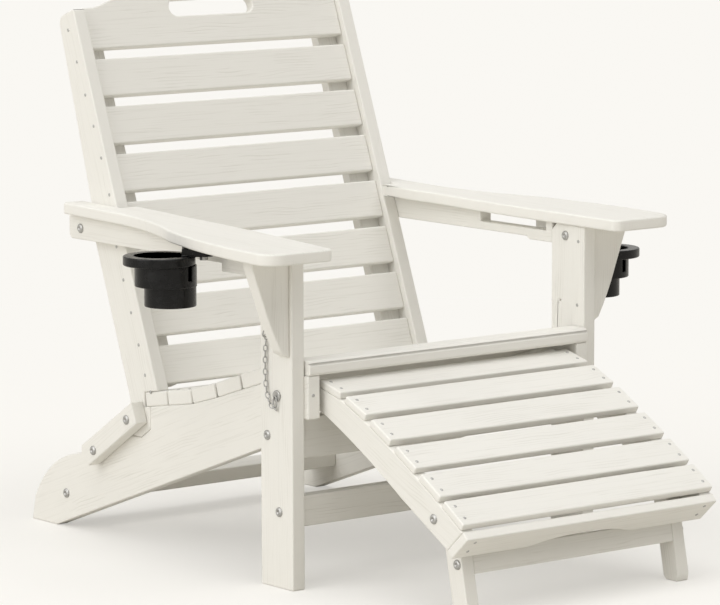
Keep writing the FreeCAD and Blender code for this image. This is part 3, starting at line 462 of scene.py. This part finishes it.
def draw_heads():
    """Low domed heads, each with a sunk drive, standing out from its place the way it faces."""
    pattern = Pattern("screw_heads", Radius=0.0028, Height=0.0009, Drive=0.42)
    head = pattern.node("GeometryNodeMeshCircle", {"fill_type": "NGON"},
                        {"Vertices": 14, "Radius": pattern.size("Radius")})
    top = True
    steps = [(0.5, 0.96), (0.3, 0.84), (0.2, 0.72), (0.0, pattern.size("Drive")), (-0.7, 0.9)]
    for rise, narrow in steps:
        head = pattern.node("GeometryNodeExtrudeMesh", {"mode": "FACES"},
                            {"Mesh": head, "Selection": top, "Individual": False,
                             "Offset Scale": pattern.size("Height") * rise})
        top = head.also("Top")
        head = pattern.node("GeometryNodeScaleElements", {"domain": "FACE"},
                            {"Geometry": head, "Selection": top, "Scale": narrow})
    pattern.close(pattern.set_down(head, pattern.turned("Z", pattern.facing())), zinc)
    return pattern


def drive_home(name, body, places, pattern, **sizes):
    """Set zinc-plated metal at each place, a point in millimetres and the way it faces."""
    mesh = bpy.data.meshes.new(name)
    mesh.from_pydata([np.array(point) / 1000 for point, facing in places], [], [])
    ways = np.array([facing for point, facing in places], float).ravel()
    mesh.attributes.new("facing", "FLOAT_VECTOR", "POINT").data.foreach_set("vector", ways)
    holder = bpy.data.objects.new(name, mesh)
    bpy.context.scene.collection.objects.link(holder)
    piece = settle(pattern.grow(holder, **sizes), None, None, zinc)
    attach(piece, body)
    return piece


def slat_screws(node, across, spread=0.24):
    """Two screws through the top of a slat, over the board that each end lies on."""
    axes, low, high = box_of(node)
    if axes[2][2] < 0:
        axes[1:] *= -1
        low[1:], high[1:] = -high[1:], -low[1:]
    half = (high[1] - low[1]) / 2
    found = []
    for x in (-across, across):
        for share in (-spread, spread):
            point = np.array([x / 1000 * axes[0][0], (low[1] + high[1]) / 2 + half * 2 * share, high[2]])
            found.append((point @ axes * 1000, axes[2]))
    return found


zinc = mix_zinc()
heads = draw_heads()
frame_screws = []
side_board_middle, stile_face, front_board_end, rail_middle, apron_end = 277, 289, 279, 244, 235
for number in range(1, 7):
    frame_screws += slat_screws("seat_slat_%d" % number, side_board_middle)
for side in (-1, 1):
    for y, z in ((433.75, 840), (409.25, 789), (386.25, 736), (363.25, 686), (342.25, 635), (320.25, 576),
                 (301.25, 492), (282.75, 439), (261.75, 387), (241.25, 336), (224.25, 288), (209.25, 262)):
        frame_screws.append(((stile_face * side, y, z), (side, 0, 0)))
    for y, z in ((-187.75, 502), (-185.75, 397)):
        frame_screws.append(((stile_face * side, y, z), (-side, 0, 0)))
    frame_screws.append(((front_board_end * side, -212.25, 308), (0, -1, 0)))
drive_home("frame_screws", "frame", frame_screws, heads)

ottoman_screws = []
for number in range(1, 7):
    ottoman_screws += slat_screws("ottoman_slat_%d" % number, rail_middle)
apron_facing = (0, -0.677, -0.736)
for x in (-apron_end, apron_end):
    for y, z in ((-552, 122.2), (-534.5, 106.1)):
        ottoman_screws.append(((x, y, z), apron_facing))
drive_home("ottoman_screws", "ottoman", ottoman_screws, heads)

# The bolts that hold the frames together: zinc-plated, with a domed head and a sunk drive.
# Each runs in from its head through the boards that it joins.


def draw_shanks():
    """Plain round shanks behind the heads, each as long as its "facing" is."""
    pattern = Pattern("bolt_shanks", Radius=0.004)
    rod = pattern.node("GeometryNodeMeshCylinder", {}, {"Vertices": 16, "Radius": pattern.size("Radius"),
                                                        "Depth": 1.0})
    rod = pattern.node("GeometryNodeTransform", {}, {"Geometry": rod, "Translation": (0.0, 0.0, -0.5)})
    facing = pattern.facing()
    length = facing.math("LENGTH", output="Value")
    stretch = pattern.node("ShaderNodeCombineXYZ", {}, {"X": 1.0, "Y": 1.0, "Z": length})
    pattern.close(pattern.set_down(rod, pattern.turned("Z", facing), Scale=stretch), zinc)
    return pattern


shanks = draw_shanks()
for node, bolts in bolt_nodes.items():
    places = [(np.array(foot) * 1000, (sign, 0, 0)) for foot, sign, length, radius in bolts]
    tops = drive_home(node + "_heads", body_of[node], places, heads,
                      Radius=0.008, Height=bolt_head_height, Drive=0.5)
    places = [(np.array(foot) * 1000, (sign * length, 0, 0)) for foot, sign, length, radius in bolts]
    rods = drive_home(node + "_shanks", body_of[node], places, shanks, Radius=float(bolts[0][3]))
    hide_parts(node)
    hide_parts(node)


def round_metal(node, name, ease, material, steps=3):
    """A moulded or cast CAD fitting with its edges rounded."""
    return keep_piece(name, node, own_mesh(node), None, material, ease, steps)


round_metal("cup_pivot_bolts", "cup_nuts", 0.0008, zinc)

# The lock pins, each a rod through post, side board and rail with a wide head and a wire loop,
# and the chains that keep them, each hung from a screw-eye in the post.


def lathe(outline, y, z, sign):
    """A solid turned about a line across the chair. Its outline gives radius and place along."""
    bm = bmesh.new()
    verts = [bm.verts.new((along * sign, y, z + radius)) for radius, along in outline]
    edges = [bm.edges.new(pair) for pair in zip(verts, verts[1:])]
    bmesh.ops.spin(bm, geom=verts + edges, cent=(0, y, z), axis=(1, 0, 0), angle=math.tau, steps=32)
    bmesh.ops.remove_doubles(bm, verts=bm.verts, dist=weld / 10)
    bmesh.ops.recalc_face_normals(bm, faces=bm.faces)
    return bm


def wire_loop(bm, centre, half_width, half_height, wire):
    """A closed oval of round wire, upright and facing sideways."""
    turns, sides = 28, 8
    rings = []
    for step in range(turns):
        angle = math.tau * step / turns
        out = Vector((0, math.cos(angle) * half_height, math.sin(angle) * half_width)).normalized()
        core = Vector(centre) + Vector((0, math.cos(angle) * half_width, math.sin(angle) * half_height))
        rings.append([bm.verts.new(core + out * math.cos(math.tau * k / sides) * wire
                                   + Vector((1, 0, 0)) * math.sin(math.tau * k / sides) * wire)
                      for k in range(sides)])
    faces = [bm.faces.new((rings[i][k], rings[(i + 1) % turns][k],
                           rings[(i + 1) % turns][(k + 1) % sides], rings[i][(k + 1) % sides]))
             for i in range(turns) for k in range(sides)]
    bmesh.ops.recalc_face_normals(bm, faces=faces)


pin_y, pin_z = -0.16475, 0.305
rod, rod_point, rim, rim_edge, dish = 0.0058, 0.001, 0.009, 0.0006, 0.0052
head_foot, head_top = 0.3131, 0.3163
for side, sign in (("left", -1), ("right", 1)):
    (x0, y0, z0), (x1, y1, z1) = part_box(side + "_lock_pin")
    inner = -x1 if sign < 0 else x0
    bm = lathe([(0, inner), (rod - rod_point, inner), (rod, inner + rod_point), (rod, head_foot),
                (rim - rim_edge, head_foot), (rim, head_foot + rim_edge), (rim, head_top - 0.0011),
                (rim - 0.0004, head_top - 0.0004), (rim - 0.0012, head_top), (dish, head_top),
                (dish - 0.0004, head_top - 0.0005), (dish - 0.0009, head_top - rim_edge),
                (0, head_top - rim_edge)], pin_y, pin_z, sign)
    wire_loop(bm, (0.3174 * sign, pin_y + 0.0005, pin_z - 0.0095), 0.0046, 0.0092, 0.0011)
    keep_piece(side + "_pin", side + "_lock_pin", bm, None, zinc, 0, 1)
round_metal("chain_eyes", "screw_eyes", 0.0008, zinc)


def draw_links():
    """Oval wire links along a line, each turned a quarter from the last."""
    pattern = Pattern("chain_links", Pitch=0.009, Wire=0.0009, Half_Length=0.0054, Half_Width=0.00285)
    line = pattern.node("GeometryNodeMeshToCurve", {}, {"Mesh": pattern.size("Places")})
    beads = pattern.node("GeometryNodeCurveToPoints", {"mode": "LENGTH"},
                         {"Curve": line, "Length": pattern.size("Pitch")})
    oval = pattern.node("GeometryNodeCurvePrimitiveCircle", {}, {"Resolution": 16, "Radius": 1.0})
    stretch = pattern.node("ShaderNodeCombineXYZ", {}, {"X": pattern.size("Half_Width"),
                                                        "Y": pattern.size("Half_Length"), "Z": 1.0})
    oval = pattern.node("GeometryNodeTransform", {}, {"Geometry": oval, "Scale": stretch})
    wire = pattern.node("GeometryNodeCurvePrimitiveCircle", {},
                        {"Resolution": 7, "Radius": pattern.size("Wire")})
    link = pattern.node("GeometryNodeCurveToMesh", {}, {"Curve": oval, "Profile Curve": wire})
    along = pattern.turned("Y", beads.also("Tangent"))
    odd = pattern.node("GeometryNodeInputIndex").math("MODULO", 2.0)
    quarter = pattern.node("FunctionNodeAxisAngleToRotation", {},
                           {"Axis": (0.0, 1.0, 0.0), "Angle": odd * (math.pi / 2) + math.pi / 4})
    turned = pattern.node("FunctionNodeRotateRotation", {"rotation_space": "LOCAL"},
                          {"Rotation": along, "Rotate By": quarter})
    pattern.close(pattern.set_down(link, turned, Points=beads), zinc)
    return pattern


links = draw_links()
chain_x = 0.3176
hang = [(-143.2, 396.5), (-141.2, 385), (-139.6, 366), (-139.6, 345), (-140.2, 326), (-143.4, 309),
        (-148.6, 296), (-156.2, 288), (-163.8, 285)]
for side, sign in (("left", -1), ("right", 1)):
    line = bpy.data.meshes.new(side + "_links")
    line.from_pydata([(chain_x * sign, y / 1000, z / 1000) for y, z in hang],
                     [(number, number + 1) for number in range(len(hang) - 1)], [])
    holder = bpy.data.objects.new(side + "_links", line)
    bpy.context.scene.collection.objects.link(holder)
    piece = settle(links.grow(holder), None, None, zinc)
    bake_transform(piece)
    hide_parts(side + "_chain")

# The cup holders: a ring and a stepped cup under it, moulded in black satin plastic, on a tongue
# that turns on a bolt under the arm.


def mix_plastic():
    """Black polypropylene with a fine moulded texture, a little greyer where it is handled."""
    finish = Finish("black_moulding")
    place = finish.place()
    grit = finish.noise(place * 2600.0, 2.0, 0.6)
    wear = finish.noise(place * 70.0, 3.0, 0.6).clamp(0.45, 0.75)
    colour = finish.mix(wear, (0.0045, 0.0046, 0.0048, 1), (0.010, 0.0101, 0.0103, 1))
    return finish.set(Base_Color=colour, Roughness=grit * 0.1 + wear * 0.1 + 0.2, Specular_IOR_Level=0.25,
                      Normal=finish.bump(grit, 0.00012, 0.25))


plastic = mix_plastic()
for side in ("left", "right"):
    round_metal(side + "_cup_ring", side + "_ring", 0.0022, plastic, 4)
    round_metal(side + "_cup", side + "_cup_shell", 0.0012, plastic)

# A pale studio floor that carries on far behind the chair and fades to paper white, a wide soft
# light from the upper left, a broad one from above the front, and an even pale sky.
reach = 90.0
paper_white = (0.955, 0.937, 0.896, 1)
floor = bpy.data.meshes.new("studio_floor")
floor.from_pydata([(-reach, -reach, 0), (reach, -reach, 0), (reach, reach, 0), (-reach, reach, 0)], [],
                  [(0, 1, 2, 3)])
ground = bpy.data.objects.new("studio_floor", floor)
bpy.context.scene.collection.objects.link(ground)


def mix_paper():
    """Matt white paper that shows the chair's shadow near it and nothing farther off."""
    warm_bounce, paper = (0.74, 0.715, 0.66, 1), (0.9, 0.885, 0.85, 1)
    shadow_starts, shadow_ends, least_glow = 0.7, 3.0, 0.44
    finish = Finish("studio_paper")
    place = finish.place() * (1.0, 1.0, 0.0)
    away = place.math("LENGTH", output="Value").clamp(shadow_starts, shadow_ends)
    seen = finish.node("ShaderNodeLightPath", {}, {}, "Is Camera Ray")
    white = finish.node("ShaderNodeEmission", {}, {"Color": paper_white, "Strength": 1.0})
    colour = finish.mix(seen, warm_bounce, paper)
    finish.set(Base_Color=colour, Roughness=0.95, Specular_IOR_Level=0.05)
    both = finish.node("ShaderNodeMixShader", {}, {0: (away * (1 - least_glow) + least_glow) * seen, 2: white,
                                                   1: Wire(finish, finish.shader.outputs[0])})
    finish.tree.links.new(both.socket, finish.tree.nodes["Material Output"].inputs["Surface"])
    return finish.material


floor.materials.append(mix_paper())

warm_sky, ambient, sheen, backdrop_lift = (1.0, 0.975, 0.93, 1), 0.40, 0.38, 0.60
world = bpy.data.worlds.new("pale_sky")
world.use_nodes = True
sky = Nodes(world.node_tree)
shiny = sky.node("ShaderNodeLightPath", {}, {}, "Is Glossy Ray")
looked_at = shiny.also("Is Camera Ray")
tint = sky.node("ShaderNodeMix", {"data_type": "RGBA"},
                {"Factor": looked_at, 6: warm_sky, 7: paper_white}, 2)
backdrop = sky.tree.nodes["Background"]
sky.tree.links.new(tint.socket, backdrop.inputs["Color"])
glow = shiny * sheen + looked_at * backdrop_lift + ambient
sky.tree.links.new(glow.socket, backdrop.inputs["Strength"])
bpy.context.scene.world = world
for name, power, spread, way in (("window", 1.38, 50, (0.9, -0.05, -0.45)),
                                 ("skylight", 1.58, 60, (0.05, 0.29, -0.95))):
    lamp = bpy.data.lights.new(name, "SUN")
    lamp.energy = power
    lamp.angle = math.radians(spread)
    holder = bpy.data.objects.new(name, lamp)
    bpy.context.scene.collection.objects.link(holder)
    holder.rotation_euler = Vector(way).to_track_quat("-Z", "Y").to_euler()

# The camera, a long lens far off, low and to the front left.
looked_at_point, camera_distance = Vector((-0.3441, -0.4164, 0.4194)), 6.24
turn, rise, lean = math.radians(-38.3887), math.radians(8.4845), math.radians(-0.1107)
ahead = Vector((-math.sin(turn) * math.cos(rise), math.cos(turn) * math.cos(rise), -math.sin(rise)))
across = ahead.cross(Vector((0, 0, 1))).normalized()
upward = across.cross(ahead)
across, upward = (across * math.cos(lean) + upward * math.sin(lean),
                  upward * math.cos(lean) - across * math.sin(lean))
camera = bpy.data.objects.new("camera", bpy.data.cameras.new("camera"))
bpy.context.scene.collection.objects.link(camera)
stand = looked_at_point - ahead * camera_distance
camera.matrix_world = Matrix.Translation(stand) @ Matrix((across, upward, -ahead)).transposed().to_4x4()
camera.data.lens = 207.71
camera.data.shift_x = -0.00265
camera.data.shift_y = 0.05715
camera.data.clip_end = 400.0
bpy.context.scene.camera = camera
bpy.context.scene.view_settings.view_transform = "Standard"
